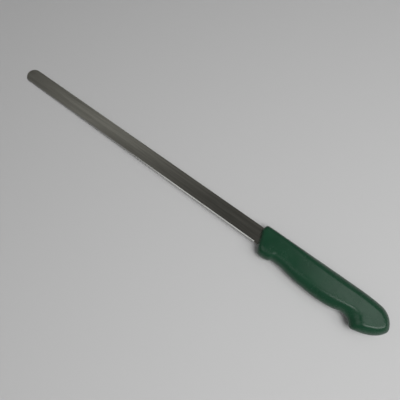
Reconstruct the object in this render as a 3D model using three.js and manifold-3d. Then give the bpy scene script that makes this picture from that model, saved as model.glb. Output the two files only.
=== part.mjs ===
// Salmon knife: a long narrow round-ended slicing blade in a moulded soft-grip handle.
// Millimetres, +Z up. The knife lies on its side: tip toward -X, cutting edge toward -Y, spine toward +Y.
// The pieces are drawn level, with x = 0 at the handle's front, y = 0 on the blade's midline and z = 0 on
// its mid-plane. The finished knife is then tipped onto the two places that it rests on, tip and handle.

import * as THREE from 'three';
import Module from 'manifold-3d';

// Blade
const BLADE_LENGTH = 320; // handle front to tip
const BLADE_HEIGHT_HEEL = 17.4; // edge to spine, at the handle
const BLADE_HEIGHT_NOSE = 16.4; // edge to spine, where the round end starts
const NOSE_LENGTH = 8.6; // lengthwise radius of the round end
const SPINE_THICKNESS_HEEL = 1.8;
const SPINE_THICKNESS_NOSE = 1.1;
const SHOULDER_THICKNESS_HEEL = 1.0; // at the top of the edge bevel
const SHOULDER_THICKNESS_NOSE = 0.6;
const EDGE_THICKNESS = 0.08;
const BEVEL_HEIGHT = 1.1; // the ground strip along the edge
const BEVEL_STOP = 3.2; // the bevel ends this far in front of the handle
const BEVEL_RUNOUT = 1.4; // and runs out over this length

// Tang
const HEEL_DEPTH = 4; // full-height blade inside the handle
const TANG_STEP = 4; // length of the step down from blade to tang
const TANG_HOLE_DIAMETER = 5;
const TANG_HOLE_INSET = 15; // hole centre to each end of the tang

// Handle, seen from the side: depths and heights are taken from the blade's midline
const HANDLE_LENGTH = 141;
const HANDLE_THICKNESS = 18; // across the flat side panels
const BROW_HEIGHT = 12.4; // the back, at the handle's front
const SPINE_HEIGHT = 13.1; // the back, at its rear end
const FRONT_BULGE = 2.2; // the front face swells forward by this
const CHIN_DEPTH = 12.2; // lower end of the front face
const GUARD_DEPTH = 16.8;
const RECESS_DEPTH = 13.8;
const SWELL_DEPTH = 18.4;
const WAIST_DEPTH = 14.9;
const HOOK_DEPTH = 22.3;
const BUTT_DEPTH = 5; // the rearmost point
const CHIN_SETBACK = 3.7; // places along the handle, from its front
const GUARD_FROM_FRONT = 13;
const RECESS_FROM_FRONT = 25;
const SWELL_FROM_BUTT = 67; // and from its rear end
const WAIST_FROM_BUTT = 43;
const SPINE_END_FROM_BUTT = 33;
const HOOK_FROM_BUTT = 28;

// Handle rim: the rounded border between the outline and the flat side panel
const FRONT_RIM = 2.8;
const GUARD_RIM = 8.6;
const RECESS_RIM = 8.5;
const BELLY_RIM = 8.1;
const WAIST_RIM = 6.9;
const HOOK_RIM = 9.9;
const BUTT_RIM = 6.6;
const SPINE_REAR_RIM = 7.5;
const SPINE_RIM = 4.8;
const ROUND_SWEEP = 86; // degrees of the rim's arc at the front, where it melts into the panel
const CREASE_SWEEP = 54; // the same at the rear, where it meets the panel in a crease
const ROUND_UNTIL = 25; // the rim is round from the handle's front to here
const CREASE_FROM = 65; // and creased from here on

// Handle core and fits
const SKIN = 3; // soft skin over the flats of the core
const CORE_WALL = 3.5; // core above, below and behind the tang
const CORE_CHAMFER = 4.2;
const BUTT_COVER = 45; // handle behind the tang
const FIT = 0.3; // gap between pieces that are moulded on one another

// Fineness of the curves
const NOSE_STEPS = 10;
const NOSE_FLAT = 4; // degrees of the round end that a small flat replaces at the very tip
const OUTLINE_STEPS = 3; // between two points of the handle's outline
const RIM_STEPS = 6;
const PEG_SIDES = 24;

const { lerp, smoothstep, degToRad } = THREE.MathUtils;
const wasm = await Module();
wasm.setup();

// What follows from the sizes above
const coreTop = Math.min(BROW_HEIGHT, SPINE_HEIGHT) - SKIN;
const coreBottom = SKIN - RECESS_DEPTH;
const coreHalfThickness = HANDLE_THICKNESS / 2 - SKIN;
const tangTop = coreTop - CORE_WALL - FIT;
const tangBottom = coreBottom + CORE_WALL + FIT;
const tangStart = HEEL_DEPTH + TANG_STEP;
const tangEnd = HANDLE_LENGTH - BUTT_COVER;
const coreStart = tangStart + FIT;
const coreEnd = tangEnd + FIT + CORE_WALL;
const holeCentres = [tangStart + TANG_HOLE_INSET, tangEnd - TANG_HOLE_INSET];

// Solids and meshes

const acrossX = (point) => new THREE.Vector2(point.y, point.z);
const acrossZ = (point) => new THREE.Vector2(point.x, point.y);

// Skin a row of rings and close both ends. Each ring runs counter-clockwise about the way the row goes,
// and flatten gives the two coordinates of a point in its ring's plane.
function loft(rings, flatten) {
  const count = rings[0].length;
  const faces = [];
  for (let start = 0; start < (rings.length - 1) * count; start += count) {
    for (let i = 0; i < count; i += 1) {
      const here = start + i;
      const next = start + ((i + 1) % count);
      faces.push(here, next, next + count, here, next + count, here + count);
    }
  }
  const cap = (ring) => THREE.ShapeUtils.triangulateShape(ring.map(flatten), []);
  const last = (rings.length - 1) * count;
  cap(rings[0]).forEach(([a, b, c]) => faces.push(c, b, a));
  cap(rings.at(-1)).forEach(([a, b, c]) => faces.push(last + a, last + b, last + c));

  const vertProperties = new Float32Array(rings.flat().flatMap((point) => point.toArray()));
  const triVerts = new Uint32Array(faces);
  return new wasm.Manifold(new wasm.Mesh({ numProp: 3, vertProperties, triVerts }));
}

function makeMesh(name, solid, material) {
  const { vertProperties, triVerts } = solid.getMesh();
  const geometry = new THREE.BufferGeometry();
  geometry.setAttribute('position', new THREE.BufferAttribute(vertProperties, 3));
  geometry.setIndex(new THREE.BufferAttribute(triVerts, 1));
  geometry.computeVertexNormals();
  const mesh = new THREE.Mesh(geometry, new THREE.MeshStandardMaterial(material));
  mesh.name = name;
  return mesh;
}

// Blade and tang

// A station is one section of the steel at x: heights of its top and bottom, the height of its bevel,
// and its thickness at the spine, at the shoulder above the bevel and at the edge.
function sectionRing({ x, top, bottom, bevel, spine, shoulder, edge }, grow = 0) {
  const rows = [
    [top + grow, spine / 2 + grow],
    [bottom + bevel, shoulder / 2 + grow],
    [bottom - grow, edge / 2 + grow],
  ];
  const upper = rows.map(([y, z]) => new THREE.Vector3(x, y, z));
  const lower = rows.map(([y, z]) => new THREE.Vector3(x, y, -z));
  return [lower[0], ...upper, lower[2], lower[1]];
}

// The blade in front of the handle. narrowing is 1 on the straight blade and falls to 0 round the nose.
function bladeStation(x, narrowing = 1) {
  const along = -x / (BLADE_LENGTH - NOSE_LENGTH);
  const halfHeight = narrowing * (lerp(BLADE_HEIGHT_HEEL, BLADE_HEIGHT_NOSE, along) / 2);
  return {
    x,
    top: halfHeight,
    bottom: -halfHeight,
    bevel: BEVEL_HEIGHT * narrowing,
    spine: lerp(SPINE_THICKNESS_HEEL, SPINE_THICKNESS_NOSE, along),
    shoulder: lerp(SHOULDER_THICKNESS_HEEL, SHOULDER_THICKNESS_NOSE, along),
    edge: EDGE_THICKNESS,
  };
}

function noseStations() {
  return Array.from({ length: NOSE_STEPS + 1 }, (_, step) => {
    const angle = degToRad(lerp(NOSE_FLAT, 90, step / NOSE_STEPS));
    return bladeStation(NOSE_LENGTH * (1 - Math.cos(angle)) - BLADE_LENGTH, Math.sin(angle));
  });
}

// The unsharpened heel from x = start on, the step and the flat tang
function tangStations(start, end) {
  const heel = { ...bladeStation(0), edge: SHOULDER_THICKNESS_HEEL };
  const tang = {
    ...heel,
    top: tangTop,
    bottom: tangBottom,
    shoulder: SPINE_THICKNESS_HEEL,
    edge: SPINE_THICKNESS_HEEL,
  };
  return [
    { ...heel, x: start },
    { ...heel, x: HEEL_DEPTH },
    { ...tang, x: tangStart },
    { ...tang, x: end },
  ];
}

// Round bars along Z at the tang's holes
function barsAtHoles(diameter, length) {
  const bars = holeCentres.map((x) => {
    const circle = new THREE.EllipseCurve(x, (tangTop + tangBottom) / 2, diameter / 2, diameter / 2);
    const points = circle.getSpacedPoints(PEG_SIDES).slice(0, PEG_SIDES);
    const ringAt = (z) => points.map((point) => new THREE.Vector3(point.x, point.y, z));
    return loft([ringAt(-length / 2), ringAt(length / 2)], acrossZ);
  });
  return bars.reduce((all, bar) => all.add(bar));
}

function makeBlade() {
  const heel = tangStations(BEVEL_RUNOUT - BEVEL_STOP, tangEnd);
  const stations = [...noseStations(), bladeStation(-BEVEL_STOP), ...heel];
  const steel = loft(stations.map((station) => sectionRing(station)), acrossX);
  return steel.subtract(barsAtHoles(TANG_HOLE_DIAMETER, HANDLE_THICKNESS));
}

// The room that the blade's heel and tang take up in the pieces round them. It starts ahead of the handle.
function bladeSlot() {
  const stations = tangStations(-FRONT_BULGE - SKIN, tangEnd + FIT);
  return loft(stations.map((station) => sectionRing(station, FIT)), acrossX);
}

// Handle core

// An eight-sided bar along the tang
function coreBar(grow = 0) {
  const top = coreTop + grow;
  const bottom = coreBottom - grow;
  const half = coreHalfThickness + grow;
  const ringAt = (x) => [
    [top, CORE_CHAMFER - half],
    [top, half - CORE_CHAMFER],
    [top - CORE_CHAMFER, half],
    [bottom + CORE_CHAMFER, half],
    [bottom, half - CORE_CHAMFER],
    [bottom, CORE_CHAMFER - half],
    [bottom + CORE_CHAMFER, -half],
    [top - CORE_CHAMFER, -half],
  ].map(([y, z]) => new THREE.Vector3(x, y, z));
  return loft([ringAt(coreStart - grow), ringAt(coreEnd + grow)], acrossX);
}

// The core closes round the tang and runs through its holes as two pegs.
function makeCore() {
  const pegs = barsAtHoles(TANG_HOLE_DIAMETER - 2 * FIT, 2 * coreHalfThickness - CORE_WALL);
  return coreBar().subtract(bladeSlot()).add(pegs);
}

// Handle grip

// The outline, from the front face along the belly to the butt and back along the spine. Each row has
// its place, the width of the rim there and the way from the outline to the panel, in degrees from +X.
function gripRows() {
  const fromButt = (distance, y) => new THREE.Vector2(HANDLE_LENGTH - distance, y);
  const brow = new THREE.Vector2(0, BROW_HEIGHT);
  const chin = new THREE.Vector2(CHIN_SETBACK, -CHIN_DEPTH);
  const front = new THREE.Vector2(-FRONT_BULGE, lerp(BROW_HEIGHT, -CHIN_DEPTH, 0.27));
  const guard = new THREE.Vector2(GUARD_FROM_FRONT, -GUARD_DEPTH);
  const recess = new THREE.Vector2(RECESS_FROM_FRONT, -RECESS_DEPTH);
  const swell = fromButt(SWELL_FROM_BUTT, -SWELL_DEPTH);
  const waist = fromButt(WAIST_FROM_BUTT, -WAIST_DEPTH);
  const hook = fromButt(HOOK_FROM_BUTT, -HOOK_DEPTH);
  const butt = fromButt(0, -BUTT_DEPTH);
  const spineEnd = fromButt(SPINE_END_FROM_BUTT, SPINE_HEIGHT);
  const between = (a, b, shareX, shareY = shareX) => (
    new THREE.Vector2(lerp(a.x, b.x, shareX), lerp(a.y, b.y, shareY))
  );
  return [
    [front, FRONT_RIM, -8],
    [between(front, chin, 0.51, 0.49), FRONT_RIM, 15],
    [chin, lerp(FRONT_RIM, GUARD_RIM, 0.4), 45],
    [between(chin, guard, 0.45, 0.94), GUARD_RIM, 62],
    [guard, GUARD_RIM, 80],
    [between(guard, recess, 0.44, 0.28), GUARD_RIM, 88],
    [between(guard, recess, 0.71, 0.92), lerp(GUARD_RIM, RECESS_RIM, 0.5), 88],
    [recess, RECESS_RIM, 88],
    [between(recess, swell, 0.18, 0.14), RECESS_RIM, 90],
    [between(recess, swell, 0.41, 0.58), RECESS_RIM, 90],
    [between(recess, swell, 0.71, 0.88), lerp(RECESS_RIM, BELLY_RIM, 0.8), 92],
    [swell, BELLY_RIM, 97],
    [between(swell, waist, 0.6, 0.31), BELLY_RIM, 97],
    [waist, WAIST_RIM, 86],
    [between(waist, hook, 0.37, 0.08), lerp(WAIST_RIM, HOOK_RIM, 0.6), 73],
    [between(waist, hook, 0.63, 0.36), HOOK_RIM, 64],
    [between(waist, hook, 0.85, 0.83), HOOK_RIM, 63],
    [hook, HOOK_RIM, 60],
    [between(hook, butt, 0.22, 0.07), lerp(HOOK_RIM, BUTT_RIM, 0.8), 76],
    [between(hook, butt, 0.46, 0.2), BUTT_RIM, 104],
    [between(hook, butt, 0.73, 0.44), BUTT_RIM, 132],
    [between(hook, butt, 0.905, 0.71), BUTT_RIM, 152],
    [butt, BUTT_RIM, 176],
    [between(butt, spineEnd, 0.035, 0.3), BUTT_RIM, 197],
    [between(butt, spineEnd, 0.16, 0.64), lerp(BUTT_RIM, SPINE_REAR_RIM, 0.5), 223],
    [between(butt, spineEnd, 0.36, 0.875), SPINE_REAR_RIM, 244],
    [between(butt, spineEnd, 0.63, 0.96), SPINE_REAR_RIM, 262],
    [spineEnd, SPINE_REAR_RIM, 262],
    [between(spineEnd, brow, 0.18, -0.15), SPINE_REAR_RIM, 267],
    [between(spineEnd, brow, 0.35, -0.15), SPINE_REAR_RIM, 270],
    [between(spineEnd, brow, 0.56, 0.05), lerp(SPINE_REAR_RIM, SPINE_RIM, 0.4), 270],
    [between(spineEnd, brow, 0.8, 0.5), SPINE_RIM, 270],
    [between(spineEnd, brow, 0.975), SPINE_RIM, 299],
    [between(brow, front, 0.1), lerp(FRONT_RIM, SPINE_RIM, 0.7), 302],
  ];
}

// The body of the grip before it is hollowed: rings from the lower panel's edge round the rim to the
// upper panel's edge. The rim is an elliptic arc, whose sweep sets how sharply it meets the panel.
function gripBody() {
  const rows = gripRows();
  const outlineNodes = rows.map(([place]) => new THREE.Vector3(place.x, place.y, 0));
  const panelNodes = rows.map(([place, rim, way]) => {
    const angle = degToRad(way);
    return new THREE.Vector3(place.x + rim * Math.cos(angle), place.y + rim * Math.sin(angle), 0);
  });
  const outline = new THREE.CatmullRomCurve3(outlineNodes, true);
  const panel = new THREE.CatmullRomCurve3(panelNodes, true);
  const count = rows.length * OUTLINE_STEPS;
  const rings = [];
  for (let step = -RIM_STEPS; step <= RIM_STEPS; step += 1) {
    rings.push(Array.from({ length: count }, (_, i) => {
      const outer = outline.getPoint(i / count);
      const crease = smoothstep(outer.x, ROUND_UNTIL, CREASE_FROM);
      const sweep = degToRad(lerp(ROUND_SWEEP, CREASE_SWEEP, crease));
      const angle = (sweep * step) / RIM_STEPS;
      const inward = (1 - Math.cos(angle)) / (1 - Math.cos(sweep));
      const height = (HANDLE_THICKNESS / 2) * (Math.sin(angle) / Math.sin(sweep));
      return outer.lerp(panel.getPoint(i / count), inward).setZ(height);
    }));
  }
  return loft(rings, acrossZ);
}

function makeGrip() {
  return gripBody().subtract(coreBar(FIT)).subtract(bladeSlot());
}

// Assembly

const knife = new THREE.Group();
knife.add(
  makeMesh('blade', makeBlade(), { color: 0x8c8e89, metalness: 1, roughness: 0.38 }),
  makeMesh('handle_core', makeCore(), { color: 0x24382d, metalness: 0, roughness: 0.6 }),
  makeMesh('handle_grip', makeGrip(), { color: 0x2a4637, metalness: 0, roughness: 0.7 }),
);

// The blade is long, so on a table the knife rests on its tip and on the front end of the flat panel.
const drop = HANDLE_THICKNESS / 2 - SPINE_THICKNESS_NOSE / 2;
knife.rotation.y = -Math.atan2(drop, BLADE_LENGTH + FRONT_RIM - FRONT_BULGE);

// Origin: middle of the knife's box, on the table
const part = new THREE.Group();
part.add(knife);
const box = new THREE.Box3().setFromObject(part, true);
const middle = box.getCenter(new THREE.Vector3());
knife.position.set(-middle.x, -middle.y, -box.min.z);

export default part;
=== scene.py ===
# Salmon knife: a long narrow round-ended slicing blade in a moulded green handle.
# The pieces are drawn level, with x = 0 at the handle's front, y = 0 on the blade's midline and z = 0 on
# its mid-plane, tip toward -X, cutting edge toward -Y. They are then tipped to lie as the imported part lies.

from itertools import accumulate
from math import atan2, cos, hypot, pi, radians, sin, sqrt

import bmesh
import bpy
from bpy.props import FloatProperty, FloatVectorProperty, PointerProperty
from bpy.types import Operator, Panel, PropertyGroup
from mathutils import Matrix, Vector


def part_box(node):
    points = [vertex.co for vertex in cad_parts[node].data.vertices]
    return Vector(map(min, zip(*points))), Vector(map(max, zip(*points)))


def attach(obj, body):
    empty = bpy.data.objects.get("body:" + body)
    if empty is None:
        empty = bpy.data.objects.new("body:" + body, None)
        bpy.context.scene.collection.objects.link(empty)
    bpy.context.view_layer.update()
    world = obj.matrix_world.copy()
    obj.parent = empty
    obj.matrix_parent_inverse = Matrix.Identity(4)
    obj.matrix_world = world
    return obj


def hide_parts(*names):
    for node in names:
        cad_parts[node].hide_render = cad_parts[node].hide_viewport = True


bl_info = {
    "name": "Salmon knife",
    "version": (1, 0, 0),
    "blender": (4, 5, 0),
    "location": "View3D > Sidebar > Knife",
    "description": "A long round-ended slicing blade in a moulded green handle",
    "category": "Object",
}

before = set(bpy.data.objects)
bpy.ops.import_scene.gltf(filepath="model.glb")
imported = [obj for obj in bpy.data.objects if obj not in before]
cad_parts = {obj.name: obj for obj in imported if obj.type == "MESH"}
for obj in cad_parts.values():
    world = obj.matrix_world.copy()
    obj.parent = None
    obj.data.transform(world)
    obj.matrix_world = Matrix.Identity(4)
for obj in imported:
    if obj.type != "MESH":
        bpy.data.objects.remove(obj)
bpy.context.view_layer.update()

# Fineness of the curves
NOSE_STEPS = 28
BLADE_STEPS = 40
RUNOUT_STEPS = 6
SPINE_ROUND_STEPS = 10
OUTLINE_STEPS = 8
RIM_STEPS = 14
CREASE_STEPS = 8
CROWN_STEPS = 6
RIDGE_STEPS = 20
HOLE_SIDES = 48
COVE_STEPS = 12
FLOOR_SIDES = 96

# The small flat at the tip, as an angle of the nose's round, and the distance at which points are joined
NOSE_FLAT = radians(1.5)
PINCH = 0.000001

# Shares of a length: the most that a rounding takes of the blade's height and of the rim's width, and the
# place of the front face's foremost point on the way from brow to chin
SPINE_ROUND_SHARE = 0.4
ROUND_SHARE = 0.7
FRONT_SHARE = 0.27

# Angles up to which a piece is shaded smooth
BLADE_SMOOTH = radians(9.5)
GRIP_SMOOTH = radians(35)

# Floor in metres: the rings of its flat part, the cove and wall round it, and its drop below the knife
FLOOR_ROUNDS = (0.2, 0.6, 1.1, 1.7)
FLOOR_REACH = FLOOR_ROUNDS[-1]
FLOOR_COVE = 0.5
FLOOR_WALL = 0.5
FLOOR_DROP = 0.0001

# Nearness to the floor's middle, from 1 there to 0 at the wall, down to which it keeps its own colour
FLOOR_EVEN = 0.75

# Lamps, named as their settings, in metres: middle, width along X and depth along Y
LAMPS = {
    "fill_light": ((0.42, -0.15, 1.2), 0.6, 0.6),
    "far_light": ((0.46, 0.42, 1.0), 0.38, 0.65),
    "near_light": ((0.87, -0.22, 1.0), 0.97, 0.32),
    "end_light": ((1.09, 0.27, 1.0), 0.52, 0.65),
    "edge_light": ((-0.2, -0.5, 1.0), 0.6, 0.5),
}

# Heights in the sky, as the sine of the elevation, at which its level changes, and the share of the middle's
# level that is left at the highest of them
SKY_LOW_UNTIL = 0.7
SKY_MIDDLE_AT = 0.82
SKY_HIGH_FROM = 0.94
SKY_HIGH_SHARE = 0.2

# Camera: sensor and lens in millimetres, nearest and furthest point in metres
SENSOR = 36.0
LENS = 36.0
CLIP_NEAR = 0.01
CLIP_FAR = 20.0


# Settings

def millimetres(label, about, size):
    """A length that a user may change, given in millimetres and kept in metres."""
    return FloatProperty(
        name=label, description=about, default=size / 1000, min=0.0, precision=5,
        subtype="DISTANCE", unit="LENGTH",
    )


def degrees(label, about, angle):
    """An angle that a user may change, given in degrees and kept in radians."""
    return FloatProperty(
        name=label, description=about, default=radians(angle), subtype="ANGLE", unit="ROTATION",
    )


def share(label, about, value, highest=1.0):
    """A plain number that a user may change."""
    return FloatProperty(
        name=label, description=about, default=value, min=0.0, max=highest, subtype="FACTOR",
    )


def colour(label, about, red, green, blue):
    """A colour that a user may change."""
    return FloatVectorProperty(
        name=label, description=about, default=(red, green, blue), size=3, min=0.0, max=1.0,
        subtype="COLOR",
    )


class BladeSettings(PropertyGroup):
    """Sizes and steel of the blade and its tang"""

    length: millimetres("Length", "Handle front to tip", 320)
    height_heel: millimetres("Height at the heel", "Edge to spine, at the handle", 17.4)
    height_nose: millimetres("Height at the nose", "Edge to spine, where the round end starts", 16.4)
    nose_length: millimetres("Nose length", "Lengthwise radius of the round end", 8.6)
    spine_heel: millimetres("Spine at the heel", "Thickness of the spine at the handle", 1.8)
    spine_nose: millimetres("Spine at the nose", "Thickness of the spine at the round end", 1.1)
    spine_round: millimetres("Spine rounding", "Radius that takes the corners off the spine", 0.22)
    shoulder_heel: millimetres("Shoulder at the heel", "Thickness above the bevel, at the handle", 1.0)
    shoulder_nose: millimetres("Shoulder at the nose", "Thickness above the bevel, at the round end", 0.6)
    edge: millimetres("Edge", "Thickness left at the cutting edge", 0.08)
    bevel_height: millimetres("Bevel height", "Width of the ground strip along the edge", 1.1)
    bevel_stop: millimetres("Bevel stop", "How far in front of the handle the bevel ends", 3.2)
    bevel_runout: millimetres("Bevel run-out", "Length over which the bevel runs out", 1.4)
    heel_depth: millimetres("Heel depth", "Full-height blade inside the handle", 4)
    tang_step: millimetres("Tang step", "Length of the step down from blade to tang", 4)
    hole: millimetres("Tang holes", "Diameter of the two holes in the tang", 5)
    hole_inset: millimetres("Hole inset", "Hole centre to each end of the tang", 15)
    steel: colour("Steel", "Satin steel of the blade's sides", 0.52, 0.51, 0.445)
    steel_roughness: share("Steel roughness", "Roughness of the satin steel", 0.14)
    ground_steel: colour("Ground steel", "Freshly ground steel along the edge", 0.72, 0.72, 0.69)
    ground_roughness: share("Ground roughness", "Roughness of the ground strip", 0.22)


class GripSettings(PropertyGroup):
    """Sizes and colours of the moulded grip. Heights and depths are taken from the blade's midline"""

    length: millimetres("Length", "Handle front to the rear end of the butt", 141)
    thickness: millimetres("Thickness", "Across the two flat side panels", 18)
    brow_height: millimetres("Brow height", "Height of the back at the handle's front", 12.4)
    spine_height: millimetres("Spine height", "Height of the back at its rear end", 13.1)
    front_bulge: millimetres("Front bulge", "How far the front face swells forward", 2.2)
    chin_depth: millimetres("Chin depth", "Depth of the front face's lower end", 12.2)
    guard_depth: millimetres("Guard depth", "Depth of the finger guard", 16.8)
    recess_depth: millimetres("Recess depth", "Depth of the recess behind the guard", 13.8)
    swell_depth: millimetres("Swell depth", "Depth of the belly's swell", 18.4)
    waist_depth: millimetres("Waist depth", "Depth of the waist in front of the hook", 14.9)
    hook_depth: millimetres("Hook depth", "Depth of the hooked rear corner", 22.3)
    butt_depth: millimetres("Butt depth", "Depth of the rearmost point", 5)
    chin_setback: millimetres("Chin setback", "Handle front to the chin", 3.7)
    guard_from_front: millimetres("Guard place", "Handle front to the finger guard", 13)
    recess_from_front: millimetres("Recess place", "Handle front to the recess", 25)
    swell_from_butt: millimetres("Swell place", "Rear end to the belly's swell", 67)
    waist_from_butt: millimetres("Waist place", "Rear end to the waist", 43)
    spine_end_from_butt: millimetres("Back's end", "Rear end to where the straight back ends", 33)
    hook_from_butt: millimetres("Hook place", "Rear end to the hook", 28)
    front_rim: millimetres("Front rim", "Width of the rim round the front face", 2.8)
    guard_rim: millimetres("Guard rim", "Width of the rim at the guard", 8.6)
    recess_rim: millimetres("Recess rim", "Width of the rim at the recess", 8.5)
    belly_rim: millimetres("Belly rim", "Width of the rim along the belly", 8.1)
    waist_rim: millimetres("Waist rim", "Width of the rim at the waist", 6.9)
    hook_rim: millimetres("Hook rim", "Width of the rim at the hook", 9.9)
    butt_rim: millimetres("Butt rim", "Width of the rim round the butt", 6.6)
    spine_rear_rim: millimetres("Rear back rim", "Width of the rim along the rear of the back", 7.5)
    spine_rim: millimetres("Back rim", "Width of the rim along the front of the back", 4.8)
    round_sweep: degrees("Round sweep", "Arc of the rim where it melts into the panel", 86)
    crease_sweep: degrees("Crease sweep", "Arc of the rim where it meets the panel in a crease", 54)
    round_until: millimetres("Round until", "The rim is round from the handle's front to here", 25)
    crease_from: millimetres("Crease from", "The rim is creased from here on", 65)
    round_reach: millimetres("Front rounding", "How far the front's edge is rounded to each side", 6)
    crease_reach: millimetres("Crease rounding", "How far the crease is rounded to each side", 1.9)
    crown: millimetres("Crown", "How far the side panel swells in its middle", 0.22)
    crown_front: millimetres("Crown's front end", "Handle front to the front end of the crown's ridge", 15)
    crown_rear: millimetres("Crown's rear end", "Rear end to the rear end of the crown's ridge", 19)
    crown_drop: millimetres("Crown's drop", "Depth of the ridge's rear end", 4)
    green: colour("Green", "Moulded green of the grip", 0.0077, 0.0477, 0.0225)
    green_deep: colour("Deep green", "The darker green that it is mottled with", 0.0068, 0.0419, 0.0198)
    roughness: share("Roughness", "Roughness of the soft moulded surface", 0.25)


class CoreSettings(PropertyGroup):
    """Sizes and colour of the core that the grip is moulded on"""

    skin: millimetres("Skin", "Soft skin over the flats of the core", 3)
    wall: millimetres("Wall", "Core above, below and behind the tang", 3.5)
    chamfer: millimetres("Chamfer", "Bevel along the core's corners", 4.2)
    butt_cover: millimetres("Butt cover", "Handle behind the tang", 45)
    fit: millimetres("Fit", "Gap between pieces that are moulded on one another", 0.3)
    plastic: colour("Plastic", "Hard plastic of the core", 0.02, 0.045, 0.03)
    roughness: share("Roughness", "Roughness of the hard plastic", 0.6)


class StageSettings(PropertyGroup):
    """Floor, lamps, world and camera"""

    floor: colour("Floor", "Pale floor under the knife", 0.54, 0.54, 0.54)
    backdrop: colour("Backdrop", "The wall that the floor turns up into", 0.75, 0.75, 0.75)
    fill_light: share("Fill light", "Brightness of the overhead fill, which leaves no gloss", 7.5, 12.0)
    far_light: share("Far light", "Brightness of the soft box beyond the handle", 1.34, 4.0)
    near_light: share("Near light", "Brightness of the soft box on the handle's near side", 3.58, 4.0)
    end_light: share("End light", "Brightness of the soft box past the butt", 2.8, 4.0)
    edge_light: share("Edge light", "Brightness of the long soft box over the cutting edge", 0.55, 4.0)
    sky_low: share("Low sky", "Level of the world near the horizon", 0.15, 4.0)
    sky_middle: share("Middle sky", "Level of the world halfway up", 0.305, 4.0)
    sky_zenith: share("Sky overhead", "Level of the world overhead", 0.07, 4.0)
    azimuth: degrees("Camera azimuth", "Turn of the camera round the knife", 37.157)
    elevation: degrees("Camera elevation", "Height of the camera over the horizon", 72)
    distance: millimetres("Camera distance", "Camera to the point that it looks at", 411.43)
    aim: FloatVectorProperty(
        name="Camera aim", description="The point that the camera looks at", size=3,
        default=(0.018462, 0.000595, 0.0), subtype="TRANSLATION", unit="LENGTH",
    )


class KnifeSettings(PropertyGroup):
    """All the settings of the knife and its stage"""

    blade: PointerProperty(type=BladeSettings, name="Blade", description="The blade and its tang")
    grip: PointerProperty(type=GripSettings, name="Grip", description="The moulded grip")
    core: PointerProperty(type=CoreSettings, name="Core", description="The core inside the grip")
    stage: PointerProperty(type=StageSettings, name="Stage", description="Floor, lamps and camera")


# Measures and curves

def blend(start, end, part):
    """The value that far on the way from start to end."""
    return start + (end - start) * part


def ease(value, low, high):
    """0 below low, 1 above high and a smooth step between them."""
    part = min(1.0, max(0.0, (value - low) / (high - low)))
    return part * part * (3 - 2 * part)


def closed_curve(points, steps):
    """A smooth closed curve through the points, with so many steps from one to the next."""
    count = len(points)
    curve = []
    for i in range(count):
        before, here, there, after = (points[(i + k) % count] for k in (-1, 0, 1, 2))
        first = sqrt((here - before).length)
        span = sqrt((there - here).length)
        last = sqrt((after - there).length)
        step_out = (here - before) / first + (there - here) / span - (there - before) / (first + span)
        step_in = (there - here) / span + (after - there) / last - (after - here) / (span + last)
        for k in range(steps):
            t = k / steps
            rise = t * t * (3 - 2 * t)
            curve.append(
                blend(here, there, rise)
                + step_out * (span * t * (1 - t) * (1 - t))
                - step_in * (span * t * t * (1 - t))
            )
    return curve


def tang_sizes(blade, grip, core):
    """Lengthwise start and end, bottom and top of the tang."""
    top = min(grip.brow_height, grip.spine_height) - core.skin - core.wall - core.fit
    bottom = core.skin - grip.recess_depth + core.wall + core.fit
    return blade.heel_depth + blade.tang_step, grip.length - core.butt_cover, bottom, top


def resting_pose(blade, grip):
    """From the level drawing to the part, which rests on its tip and on the front of the handle."""
    half = blade.spine_nose / 2
    tilt = atan2(grip.thickness / 2 - half, blade.length + grip.front_rim - grip.front_bulge)
    low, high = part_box("blade")
    origin = Vector((
        low.x + blade.length * cos(tilt) + half * sin(tilt),
        (low.y + high.y) / 2,
        low.z + blade.length * sin(tilt) + half * cos(tilt),
    ))
    return Matrix.Translation(origin) @ Matrix.Rotation(-tilt, 4, "Y")


# Meshes

def loft(name, rings, finish_of=None, capped=True):
    """A closed skin over a row of rings. Each ring runs counter-clockwise about the way the row goes.

    finish_of gives the material index of the strip that starts at a ring's point. Without caps, the
    first and the last ring are pinched shut along a line on which their points meet.
    """
    skin = bmesh.new()
    rows = [[skin.verts.new(point) for point in ring] for ring in rings]
    count = len(rows[0])
    for number, (near, far) in enumerate(zip(rows, rows[1:])):
        for i in range(count):
            j = (i + 1) % count
            face = skin.faces.new((near[i], near[j], far[j], far[i]))
            if finish_of:
                face.material_index = finish_of(number, i)
    if capped:
        ends = [skin.faces.new(reversed(rows[0])), skin.faces.new(rows[-1])]
        bmesh.ops.triangulate(skin, faces=ends)
    else:
        bmesh.ops.remove_doubles(skin, verts=rows[0] + rows[-1], dist=PINCH)
    mesh = bpy.data.meshes.new(name)
    skin.to_mesh(mesh)
    skin.free()
    return mesh


def place_object(name, mesh):
    """An object of that name in the scene, in place of one that an earlier run has left."""
    old = bpy.data.objects.get(name)
    if old:
        bpy.data.objects.remove(old)
    piece = bpy.data.objects.new(name, mesh)
    bpy.context.scene.collection.objects.link(piece)
    return piece


def cut_away(piece, cutters):
    """Takes the cutters' meshes out of the piece."""
    tools = [place_object(f"cutter_{number}", mesh) for number, mesh in enumerate(cutters)]
    for tool in tools:
        cut = piece.modifiers.new("cut", "BOOLEAN")
        cut.operation = "DIFFERENCE"
        cut.solver = "EXACT"
        cut.object = tool
    graph = bpy.context.evaluated_depsgraph_get()
    result = bpy.data.meshes.new_from_object(piece.evaluated_get(graph))
    if not result.polygons:
        raise RuntimeError(f"cutting {piece.name} left nothing")
    piece.modifiers.clear()
    uncut = piece.data
    piece.data = result
    bpy.data.meshes.remove(uncut)
    for tool in tools:
        bpy.data.objects.remove(tool)
    for mesh in cutters:
        bpy.data.meshes.remove(mesh)


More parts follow.
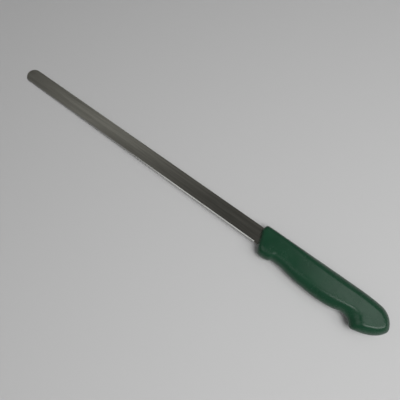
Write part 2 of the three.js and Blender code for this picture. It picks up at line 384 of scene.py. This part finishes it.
def settle(piece, pose, smooth_up_to, node):
    """Shades the piece smooth up to an angle, lays it where the part lies, hangs it on the root body and
    hides its CAD node.
    """
    mesh = piece.data
    mesh.transform(pose)
    mesh.polygons.foreach_set("use_smooth", [True] * len(mesh.polygons))
    mesh.set_sharp_from_angle(angle=smooth_up_to)
    mesh.update()
    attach(piece, "root")
    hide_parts(node)


# Blade

def section(x, top, bottom, bevel, spine, shoulder, edge, rounding=0.0, grow=0.0):
    """One ring of the steel at x, from the spine's lower side over the upper side to the edge and back."""
    radius = min(rounding, SPINE_ROUND_SHARE * (top - bottom))
    slope = (spine - shoulder) / 2 / (top - bottom - bevel)
    upper = []
    for k in range(SPINE_ROUND_STEPS + 1):
        turn = pi / 2 * (1 - k / SPINE_ROUND_STEPS)
        drop = radius * (1 - sin(turn))
        upper.append((top - drop + grow, spine / 2 - slope * drop - radius * (1 - cos(turn)) + grow))
    upper.append((bottom + bevel, shoulder / 2 + grow))
    upper.append((bottom - grow, edge / 2 + grow))
    ring = upper + [(y, -z) for y, z in reversed(upper)]
    return [Vector((x, y, z)) for y, z in ring]


def blade_section(blade, x, narrowing=1.0, edge=None):
    """The blade in front of the handle. narrowing falls from 1 to 0 round the nose."""
    along = -x / (blade.length - blade.nose_length)
    half = narrowing * blend(blade.height_heel, blade.height_nose, along) / 2
    return section(
        x, half, -half, blade.bevel_height * narrowing,
        blend(blade.spine_heel, blade.spine_nose, along),
        blend(blade.shoulder_heel, blade.shoulder_nose, along),
        blade.edge if edge is None else edge,
        blade.spine_round,
    )


def heel_and_tang(blade, grip, core, front, rounding=0.0, grow=0.0):
    """The unsharpened heel from x = front on, the step and the flat tang."""
    start, end, bottom, top = tang_sizes(blade, grip, core)
    half = blade.height_heel / 2
    heel = (half, -half, blade.bevel_height, blade.spine_heel, blade.shoulder_heel, blade.shoulder_heel)
    tang = (top, bottom, blade.bevel_height, blade.spine_heel, blade.spine_heel, blade.spine_heel)
    places = (
        (front, heel),
        (blade.heel_depth, heel),
        (start, tang),
        (end + grow, tang),
    )
    return [section(x, *sizes, rounding, grow) for x, sizes in places]


def make_blade_mesh(blade, grip, core):
    """The whole blade with its tang. The strips of the ground edge take the second material."""
    rings = []
    for k in range(NOSE_STEPS + 1):
        turn = blend(NOSE_FLAT, pi / 2, k / NOSE_STEPS)
        rings.append(blade_section(blade, blade.nose_length * (1 - cos(turn)) - blade.length, sin(turn)))
    straight = blade.nose_length - blade.length
    for k in range(1, BLADE_STEPS + 1):
        rings.append(blade_section(blade, blend(straight, -blade.bevel_stop, k / BLADE_STEPS)))
    last_ground = len(rings) - 1
    heel_front = blade.bevel_runout - blade.bevel_stop
    for k in range(1, RUNOUT_STEPS):
        part = k / RUNOUT_STEPS
        x = blend(-blade.bevel_stop, heel_front, part)
        edge = blend(blade.edge, blade.shoulder_heel, 1 - sqrt(1 - part * part))
        rings.append(blade_section(blade, x, edge=edge))
    rings.extend(heel_and_tang(blade, grip, core, heel_front, blade.spine_round))

    shoulder = SPINE_ROUND_STEPS + 1
    strips = (shoulder, shoulder + 1, shoulder + 2)

    def finish_of(ring, strip):
        return int(ring < last_ground + RUNOUT_STEPS and strip in strips)

    return loft("blade_steel", rings, finish_of)


def tang_hole_cutters(blade, grip, core):
    """Round bars that take the two holes out of the tang."""
    start, end, bottom, top = tang_sizes(blade, grip, core)
    cutters = []
    for x in (start + blade.hole_inset, end - blade.hole_inset):
        rings = []
        for z in (-grip.thickness / 2, grip.thickness / 2):
            ring = []
            for k in range(HOLE_SIDES):
                turn = 2 * pi * k / HOLE_SIDES
                ring.append(Vector((
                    x + blade.hole / 2 * cos(turn),
                    (top + bottom) / 2 + blade.hole / 2 * sin(turn),
                    z,
                )))
            rings.append(ring)
        cutters.append(loft("tang_hole", rings))
    return cutters


# Grip

def grip_rows(grip):
    """The outline, from the front face along the belly to the butt and back along the back.

    Each row has its place, the width of the rim there and the way from the outline to the panel, in
    degrees from +X.
    """
    def from_butt(distance, y):
        return Vector((grip.length - distance, y, 0))

    def between(start, end, share_x, share_y=None):
        share_y = share_x if share_y is None else share_y
        return Vector((blend(start.x, end.x, share_x), blend(start.y, end.y, share_y), 0))

    brow = Vector((0, grip.brow_height, 0))
    chin = Vector((grip.chin_setback, -grip.chin_depth, 0))
    front = Vector((-grip.front_bulge, blend(brow.y, chin.y, FRONT_SHARE), 0))
    guard = Vector((grip.guard_from_front, -grip.guard_depth, 0))
    recess = Vector((grip.recess_from_front, -grip.recess_depth, 0))
    swell = from_butt(grip.swell_from_butt, -grip.swell_depth)
    waist = from_butt(grip.waist_from_butt, -grip.waist_depth)
    hook = from_butt(grip.hook_from_butt, -grip.hook_depth)
    butt = from_butt(0, -grip.butt_depth)
    spine_end = from_butt(grip.spine_end_from_butt, grip.spine_height)
    front_rim = grip.front_rim
    guard_rim = grip.guard_rim
    recess_rim = grip.recess_rim
    belly_rim = grip.belly_rim
    waist_rim = grip.waist_rim
    hook_rim = grip.hook_rim
    butt_rim = grip.butt_rim
    rear_rim = grip.spine_rear_rim
    spine_rim = grip.spine_rim
    return [
        (front, front_rim, -8),
        (between(front, chin, 0.51, 0.49), front_rim, 15),
        (chin, blend(front_rim, guard_rim, 0.4), 45),
        (between(chin, guard, 0.45, 0.94), guard_rim, 62),
        (guard, guard_rim, 80),
        (between(guard, recess, 0.44, 0.28), guard_rim, 88),
        (between(guard, recess, 0.71, 0.92), blend(guard_rim, recess_rim, 0.5), 88),
        (recess, recess_rim, 88),
        (between(recess, swell, 0.18, 0.14), recess_rim, 90),
        (between(recess, swell, 0.41, 0.58), recess_rim, 90),
        (between(recess, swell, 0.71, 0.88), blend(recess_rim, belly_rim, 0.8), 92),
        (swell, belly_rim, 97),
        (between(swell, waist, 0.6, 0.31), belly_rim, 97),
        (waist, waist_rim, 86),
        (between(waist, hook, 0.37, 0.08), blend(waist_rim, hook_rim, 0.6), 73),
        (between(waist, hook, 0.63, 0.36), hook_rim, 64),
        (between(waist, hook, 0.85, 0.83), hook_rim, 63),
        (hook, hook_rim, 60),
        (between(hook, butt, 0.22, 0.07), blend(hook_rim, butt_rim, 0.8), 76),
        (between(hook, butt, 0.46, 0.2), butt_rim, 104),
        (between(hook, butt, 0.73, 0.44), butt_rim, 132),
        (between(hook, butt, 0.905, 0.71), butt_rim, 152),
        (butt, butt_rim, 176),
        (between(butt, spine_end, 0.035, 0.3), butt_rim, 197),
        (between(butt, spine_end, 0.16, 0.64), blend(butt_rim, rear_rim, 0.5), 223),
        (between(butt, spine_end, 0.36, 0.875), rear_rim, 244),
        (between(butt, spine_end, 0.63, 0.96), rear_rim, 262),
        (spine_end, rear_rim, 262),
        (between(spine_end, brow, 0.18, -0.15), rear_rim, 267),
        (between(spine_end, brow, 0.35, -0.15), rear_rim, 270),
        (between(spine_end, brow, 0.56, 0.05), blend(rear_rim, spine_rim, 0.4), 270),
        (between(spine_end, brow, 0.8, 0.5), spine_rim, 270),
        (between(spine_end, brow, 0.975), spine_rim, 299),
        (between(brow, front, 0.1), blend(front_rim, spine_rim, 0.7), 302),
    ]


def rim_profile(grip, x, width, inside):
    """The rim from the mid-plane to the panel at one place: how far inward, and how high.

    It is an elliptic arc, whose sweep sets how sharply it meets the panel, with the crease rounded off.
    inside is the way from the crease to the ridge of the panel's crown.
    """
    rearward = ease(x, grip.round_until, grip.crease_from)
    sweep = blend(grip.round_sweep, grip.crease_sweep, rearward)
    reach = min(blend(grip.round_reach, grip.crease_reach, rearward), ROUND_SHARE * min(width, inside))
    top = grip.thickness / 2 - grip.crown
    across = width / (1 - cos(sweep))
    rise = top / sin(sweep)
    last = sweep - reach / hypot(across * sin(sweep), rise * cos(sweep))
    profile = []
    for k in range(RIM_STEPS + 1):
        turn = last * k / RIM_STEPS
        profile.append(Vector((across * (1 - cos(turn)), rise * sin(turn))))
    left = 1 - reach / inside
    start = profile[-1]
    end = Vector((width + reach, grip.thickness / 2 - grip.crown * left * left))
    leaving = Vector((across * sin(last), rise * cos(last)))
    arriving = Vector((inside, 2 * grip.crown * left))
    corner = start + leaving * ((end - start).cross(arriving) / leaving.cross(arriving))
    for k in range(1, CREASE_STEPS + 1):
        t = k / CREASE_STEPS
        profile.append(blend(blend(start, corner, t), blend(corner, end, t), t))
    return profile


def ridge_points(grip, panel):
    """For each point of the crease, the point of the crown's ridge that its column runs to.

    They move only rearward along the belly and only forward along the back, in even steps, so that the
    columns of both sides meet on the same points.
    """
    front = Vector((grip.crown_front, 0, grip.thickness / 2))
    rear = Vector((grip.length - grip.crown_rear, -grip.crown_drop, grip.thickness / 2))
    wanted = []
    for crease in panel:
        part = min(1.0, max(0.0, (crease.x - front.x) / (rear.x - front.x)))
        wanted.append(round(part * RIDGE_STEPS))
    turn = max(range(len(panel)), key=lambda i: panel[i].x)
    stops = list(accumulate(wanted[:turn], max)) + list(accumulate(wanted[turn:], min))
    return [blend(front, rear, stop / RIDGE_STEPS) for stop in stops]


def crown_column(edge, ridge):
    """The panel from its edge, where the rounded crease ends, to the ridge of its crown."""
    column = []
    for k in range(1, CROWN_STEPS + 1):
        part = k / CROWN_STEPS
        point = blend(edge, ridge, part)
        point.z = ridge.z - (ridge.z - edge.z) * (1 - part) ** 2
        column.append(point)
    return column


def make_grip_mesh(grip):
    """The moulded grip without its insides: columns from the lower panel over the rim to the upper one."""
    rows = grip_rows(grip)
    outline = closed_curve([place for place, rim, way in rows], OUTLINE_STEPS)
    panel = closed_curve(
        [place + rim * Vector((cos(radians(way)), sin(radians(way)), 0)) for place, rim, way in rows],
        OUTLINE_STEPS,
    )
    columns = []
    for outer, crease, ridge in zip(outline, panel, ridge_points(grip, panel)):
        inward = (crease - outer).normalized()
        profile = rim_profile(grip, outer.x, (crease - outer).length, (ridge - crease).xy.length)
        upper = [outer + inward * run + Vector((0, 0, height)) for run, height in profile]
        upper += crown_column(upper[-1], ridge)
        lower = [Vector((point.x, point.y, -point.z)) for point in upper[:0:-1]]
        columns.append(lower + upper)
    rings = [list(ring) for ring in zip(*columns)]
    return loft("grip_moulding", rings, capped=False)


def core_room(blade, grip, core):
    """The room that the core takes up in the grip: an eight-sided bar along the tang."""
    start, end, bottom, top = tang_sizes(blade, grip, core)
    high = top + core.wall + 2 * core.fit
    low = bottom - core.wall - 2 * core.fit
    half = grip.thickness / 2 - core.skin + core.fit
    corner = core.chamfer
    ring = (
        (high, corner - half),
        (high, half - corner),
        (high - corner, half),
        (low + corner, half),
        (low, half - corner),
        (low, corner - half),
        (low + corner, -half),
        (high - corner, -half),
    )
    ends = (start, end + 2 * core.fit + core.wall)
    return loft("core_room", [[Vector((x, y, z)) for y, z in ring] for x in ends])


# Finishes

class Finish:
    """A node material in the making. Its textures are placed by the part's own metres."""

    def __init__(self, name):
        old = bpy.data.materials.get(name)
        if old:
            bpy.data.materials.remove(old)
        self.material = bpy.data.materials.new(name)
        self.material.use_nodes = True
        self.tree = self.material.node_tree
        self.tree.nodes.clear()
        output = self.add("ShaderNodeOutputMaterial")
        self.shader = self.add("ShaderNodeBsdfPrincipled")
        self.link(self.shader.outputs["BSDF"], output.inputs["Surface"])
        self.place = self.add("ShaderNodeTexCoord").outputs["Object"]

    def add(self, kind):
        return self.tree.nodes.new(kind)

    def link(self, source, target):
        self.tree.links.new(source, target)

    def stretch(self, per_metre):
        """The place on the part, in so many units to a metre along x, y and z."""
        mapping = self.add("ShaderNodeMapping")
        mapping.inputs["Scale"].default_value = per_metre
        self.link(self.place, mapping.inputs["Vector"])
        return mapping.outputs["Vector"]

    def noise(self, per_metre, detail=2.0, roughness=0.5):
        """Noise with so many waves in a metre along x, y and z."""
        noise = self.add("ShaderNodeTexNoise")
        noise.inputs["Scale"].default_value = 1.0
        noise.inputs["Detail"].default_value = detail
        noise.inputs["Roughness"].default_value = roughness
        self.link(self.stretch(per_metre), noise.inputs["Vector"])
        return noise.outputs["Fac"]

    def nearness(self, reach):
        """1 in the middle, falling evenly to 0 at that distance from it."""
        gradient = self.add("ShaderNodeTexGradient")
        gradient.gradient_type = "SPHERICAL"
        self.link(self.stretch([1 / reach] * 3), gradient.inputs["Vector"])
        return gradient.outputs["Fac"]

    def colours(self, source, *stops):
        """Two colours and the ramp between them, each given with its place on it."""
        ramp = self.add("ShaderNodeValToRGB")
        for element, (position, tone) in zip(ramp.color_ramp.elements, stops):
            element.position = position
            element.color = (*tone, 1.0)
        self.link(source, ramp.inputs["Fac"])
        return ramp.outputs["Color"]

    def spread(self, source, low, high):
        """The middle half of a noise spread from low to high."""
        spread = self.add("ShaderNodeMapRange")
        for label, value in (("From Min", 0.25), ("From Max", 0.75), ("To Min", low), ("To Max", high)):
            spread.inputs[label].default_value = value
        self.link(source, spread.inputs["Value"])
        return spread.outputs["Result"]

    def bump(self, source, depth, strength):
        """Relief of that depth in metres."""
        bump = self.add("ShaderNodeBump")
        bump.inputs["Strength"].default_value = strength
        bump.inputs["Distance"].default_value = depth
        self.link(source, bump.inputs["Height"])
        return bump.outputs["Normal"]

    def finish(self, tone, roughness, normal=None):
        """The material, once its shader has its colour, roughness and relief."""
        self.link(tone, self.shader.inputs["Base Color"])
        self.link(roughness, self.shader.inputs["Roughness"])
        if normal:
            self.link(normal, self.shader.inputs["Normal"])
        return self.material


def toned(tone, part):
    """The colour made darker or lighter by a factor."""
    return [channel * part for channel in tone]


def satin_steel(blade):
    """Rolled and satin-ground steel, with fine lines along the blade and faint cloudy patches."""
    steel = Finish("satin_steel")
    steel.shader.inputs["Metallic"].default_value = 1.0
    steel.shader.inputs["Anisotropic"].default_value = 0.3
    across = steel.add("ShaderNodeTangent")
    across.direction_type = "RADIAL"
    across.axis = "X"
    steel.link(across.outputs["Tangent"], steel.shader.inputs["Tangent"])
    lines = steel.noise((7, 1500, 1500), detail=4.0, roughness=0.7)
    bands = steel.noise((3, 300, 300), detail=5.0, roughness=0.75)
    clouds = steel.noise((26, 60, 60), detail=3.0, roughness=0.6)
    tone = steel.colours(bands, (0.39, toned(blade.steel, 0.78)), (0.61, toned(blade.steel, 1.12)))
    roughness = steel.spread(clouds, blade.steel_roughness - 0.04, blade.steel_roughness + 0.04)
    relief = steel.bump(lines, depth=0.00003, strength=0.4)
    return steel.finish(tone, roughness, relief)


def ground_steel(blade):
    """The bright strip that the wheel has left along the edge, scored across."""
    steel = Finish("ground_steel")
    steel.shader.inputs["Metallic"].default_value = 1.0
    scores = steel.noise((2600, 60, 60), roughness=0.6)
    patches = steel.noise((70, 40, 40))
    tone = steel.colours(scores, (0.3, toned(blade.ground_steel, 0.84)), (0.7, blade.ground_steel))
    roughness = steel.spread(patches, blade.ground_roughness - 0.05, blade.ground_roughness + 0.07)
    relief = steel.bump(scores, depth=0.00002, strength=0.3)
    return steel.finish(tone, roughness, relief)


def soft_green(grip):
    """Soft-touch green moulding with a fine spark-eroded grain."""
    green = Finish("soft_green_moulding")
    mottle = green.noise((55, 55, 55), detail=3.0, roughness=0.55)
    grain = green.noise((1700, 1700, 1700))
    handling = green.noise((120, 120, 120), detail=4.0, roughness=0.6)
    tone = green.colours(mottle, (0.3, grip.green_deep), (0.7, grip.green))
    roughness = green.spread(handling, grip.roughness - 0.06, grip.roughness + 0.06)
    relief = green.bump(grain, depth=0.00005, strength=0.5)
    return green.finish(tone, roughness, relief)


def core_plastic(core):
    """Plain hard plastic with the flow marks of its mould."""
    plastic = Finish("core_plastic")
    flow = plastic.noise((30, 160, 160), detail=3.0)
    grain = plastic.noise((1800, 1800, 1800))
    tone = plastic.colours(flow, (0.3, toned(core.plastic, 0.85)), (0.7, core.plastic))
    roughness = plastic.spread(grain, core.roughness - 0.08, core.roughness + 0.08)
    relief = plastic.bump(grain, depth=0.00003, strength=0.2)
    return plastic.finish(tone, roughness, relief)


def floor_paper(stage):
    """Plain matt floor, paler toward the backdrop, where less light falls."""
    paper = Finish("pale_floor")
    paper.shader.inputs["Specular IOR Level"].default_value = 0.1
    clouds = paper.noise((7, 7, 7))
    near = paper.nearness(FLOOR_REACH + FLOOR_COVE)
    tone = paper.colours(near, (0.0, stage.backdrop), (FLOOR_EVEN, stage.floor))
    return paper.finish(tone, paper.spread(clouds, 0.88, 0.96))


# Stage

def make_floor(stage):
    """A round dish: flat under the knife and turned up into a wall far away."""
    rounds = [(reach, 0.0) for reach in FLOOR_ROUNDS]
    for k in range(1, COVE_STEPS + 1):
        turn = pi / 2 * k / COVE_STEPS
        rounds.append((FLOOR_REACH + FLOOR_COVE * sin(turn), FLOOR_COVE * (1 - cos(turn))))
    rounds.append((FLOOR_REACH + FLOOR_COVE, FLOOR_COVE + FLOOR_WALL))
    dish = bmesh.new()
    centre = dish.verts.new((0, 0, -FLOOR_DROP))
    rows = []
    for reach, height in rounds:
        rows.append([
            dish.verts.new((
                reach * cos(2 * pi * k / FLOOR_SIDES),
                reach * sin(2 * pi * k / FLOOR_SIDES),
                height - FLOOR_DROP,
            ))
            for k in range(FLOOR_SIDES)
        ])
    for k in range(FLOOR_SIDES):
        following = (k + 1) % FLOOR_SIDES
        dish.faces.new((centre, rows[0][k], rows[0][following]))
        for inner, outer in zip(rows, rows[1:]):
            dish.faces.new((inner[k], outer[k], outer[following], inner[following]))
    mesh = bpy.data.meshes.new("floor")
    dish.to_mesh(mesh)
    dish.free()
    mesh.polygons.foreach_set("use_smooth", [True] * len(mesh.polygons))
    floor = place_object("floor", mesh)
    mesh.materials.append(floor_paper(stage))


def hang_lamp(name, centre, width, depth, brightness):
    """A level soft box over the table. A brightness of 1 is that of a white sheet in full light."""
    light = bpy.data.lights.new(name, "AREA")
    light.shape = "RECTANGLE"
    light.size = width
    light.size_y = depth
    light.energy = brightness * pi * width * depth
    lamp = place_object(name, light)
    lamp.location = centre
    lamp.visible_camera = False
    return lamp


def make_world(stage):
    """A dim sky, brightest about halfway up."""
    world = bpy.data.worlds.new("studio")
    world.use_nodes = True
    tree = world.node_tree
    tree.nodes.clear()
    output = tree.nodes.new("ShaderNodeOutputWorld")
    background = tree.nodes.new("ShaderNodeBackground")
    place = tree.nodes.new("ShaderNodeTexCoord")
    split = tree.nodes.new("ShaderNodeSeparateXYZ")
    level = tree.nodes.new("ShaderNodeFloatCurve")
    points = level.mapping.curves[0].points
    points[0].location = (0.0, stage.sky_low)
    points[1].location = (1.0, stage.sky_zenith)
    points.new(SKY_LOW_UNTIL, stage.sky_low)
    points.new(SKY_MIDDLE_AT, stage.sky_middle)
    points.new(SKY_HIGH_FROM, blend(stage.sky_zenith, stage.sky_middle, SKY_HIGH_SHARE))
    for point in points:
        point.handle_type = "VECTOR"
    level.mapping.update()
    tree.links.new(place.outputs["Generated"], split.inputs["Vector"])
    tree.links.new(split.outputs["Z"], level.inputs["Value"])
    tree.links.new(level.outputs["Value"], background.inputs["Strength"])
    tree.links.new(background.outputs["Background"], output.inputs["Surface"])
    bpy.context.scene.world = world


def make_camera(stage):
    """The camera at the photograph's viewing angle."""
    camera = bpy.data.cameras.new("camera")
    camera.sensor_width = SENSOR
    camera.lens = LENS
    camera.clip_start = CLIP_NEAR
    camera.clip_end = CLIP_FAR
    back = Vector((
        sin(stage.azimuth) * cos(stage.elevation),
        -cos(stage.azimuth) * cos(stage.elevation),
        sin(stage.elevation),
    ))
    holder = place_object("camera", camera)
    holder.location = Vector(stage.aim) + back * stage.distance
    holder.rotation_mode = "QUATERNION"
    holder.rotation_quaternion = back.to_track_quat("Z", "Y")
    bpy.context.scene.camera = holder


# Operators and panel

class SALMON_KNIFE_OT_blade(Operator):
    """Grind the blade: round nose, satin sides, bright edge and the tang inside the handle"""

    bl_idname = "salmon_knife.make_blade"
    bl_label = "Make the blade"

    def execute(self, context):
        knife = context.scene.salmon_knife
        blade, grip, core = knife.blade, knife.grip, knife.core
        piece = place_object("knife_blade", make_blade_mesh(blade, grip, core))
        piece.data.materials.append(satin_steel(blade))
        piece.data.materials.append(ground_steel(blade))
        cut_away(piece, tang_hole_cutters(blade, grip, core))
        settle(piece, resting_pose(blade, grip), BLADE_SMOOTH, "blade")
        return {"FINISHED"}


class SALMON_KNIFE_OT_core(Operator):
    """Give the core inside the handle its plastic"""

    bl_idname = "salmon_knife.finish_core"
    bl_label = "Finish the core"

    def execute(self, context):
        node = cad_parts["handle_core"]
        node.data.materials.clear()
        node.data.materials.append(core_plastic(context.scene.salmon_knife.core))
        return {"FINISHED"}


class SALMON_KNIFE_OT_grip(Operator):
    """Mould the grip round the core and the heel of the blade"""

    bl_idname = "salmon_knife.make_grip"
    bl_label = "Make the grip"

    def execute(self, context):
        knife = context.scene.salmon_knife
        blade, grip, core = knife.blade, knife.grip, knife.core
        piece = place_object("knife_grip", make_grip_mesh(grip))
        piece.data.materials.append(soft_green(grip))
        ahead = -grip.front_bulge - core.skin
        slot = loft("blade_slot", heel_and_tang(blade, grip, core, ahead, grow=core.fit))
        cut_away(piece, [core_room(blade, grip, core), slot])
        settle(piece, resting_pose(blade, grip), GRIP_SMOOTH, "handle_grip")
        return {"FINISHED"}


class SALMON_KNIFE_OT_stage(Operator):
    """Lay the floor, hang the lamps, and set the world and the camera"""

    bl_idname = "salmon_knife.set_stage"
    bl_label = "Set the stage"

    def execute(self, context):
        stage = context.scene.salmon_knife.stage
        make_floor(stage)
        for name, (centre, width, depth) in LAMPS.items():
            lamp = hang_lamp(name, centre, width, depth, getattr(stage, name))
            lamp.visible_glossy = name != "fill_light"
        make_world(stage)
        make_camera(stage)
        context.scene.view_settings.view_transform = "Standard"
        return {"FINISHED"}


class SALMON_KNIFE_PT_sidebar(Panel):
    """The knife's pieces and their settings"""

    bl_idname = "SALMON_KNIFE_PT_sidebar"
    bl_label = "Salmon knife"
    bl_space_type = "VIEW_3D"
    bl_region_type = "UI"
    bl_category = "Knife"

    def draw(self, context):
        knife = context.scene.salmon_knife
        for settings, operator in (
            (knife.blade, SALMON_KNIFE_OT_blade),
            (knife.core, SALMON_KNIFE_OT_core),
            (knife.grip, SALMON_KNIFE_OT_grip),
            (knife.stage, SALMON_KNIFE_OT_stage),
        ):
            box = self.layout.box()
            box.operator(operator.bl_idname)
            for name in settings.bl_rna.properties.keys():
                if name not in {"rna_type", "name"}:
                    box.prop(settings, name)


CLASSES = (
    BladeSettings,
    GripSettings,
    CoreSettings,
    StageSettings,
    KnifeSettings,
    SALMON_KNIFE_OT_blade,
    SALMON_KNIFE_OT_core,
    SALMON_KNIFE_OT_grip,
    SALMON_KNIFE_OT_stage,
    SALMON_KNIFE_PT_sidebar,
)


def register():
    for entry in CLASSES:
        bpy.utils.register_class(entry)
    bpy.types.Scene.salmon_knife = PointerProperty(type=KnifeSettings)


def unregister():
    del bpy.types.Scene.salmon_knife
    for entry in reversed(CLASSES):
        bpy.utils.unregister_class(entry)


def main():
    register()
    bpy.ops.salmon_knife.make_blade()
    bpy.ops.salmon_knife.finish_core()
    bpy.ops.salmon_knife.make_grip()
    bpy.ops.salmon_knife.set_stage()


if __name__ == "__main__":
    main()
